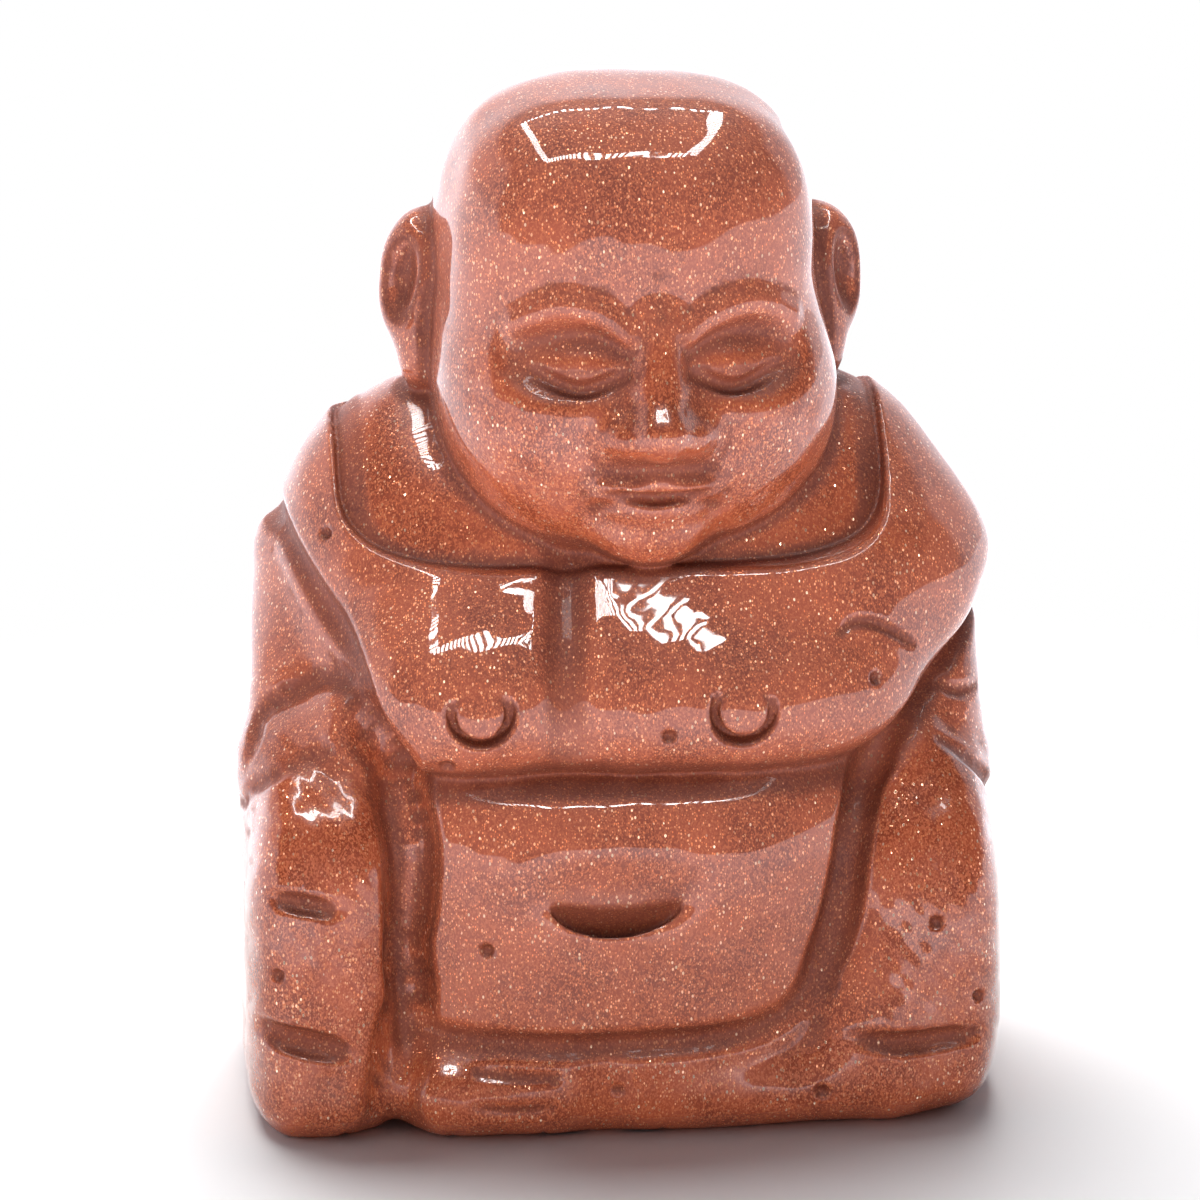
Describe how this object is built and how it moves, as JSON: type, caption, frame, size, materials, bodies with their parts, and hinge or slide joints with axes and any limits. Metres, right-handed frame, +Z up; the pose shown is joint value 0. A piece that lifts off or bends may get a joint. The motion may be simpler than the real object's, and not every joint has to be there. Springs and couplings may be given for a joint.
{
  "type": "seated buddha carving",
  "caption": "Small round-shouldered seated monk with bare chest, open robe and shaven head, carved from one piece of polished copper-flecked stone, to stand on a shelf.",
  "frame": {"origin": "middle of the bounding box on the flat underside", "axes": "+Z up, the figure faces -Y, its right hand is at -X"},
  "size_m": [0.0376, 0.026, 0.0503],
  "materials": {
    "goldstone": "polished, filled with fine copper flecks"
  },
  "bodies": {
    "root": {"buddha_carving": "goldstone"}
  },
  "joints": []
}
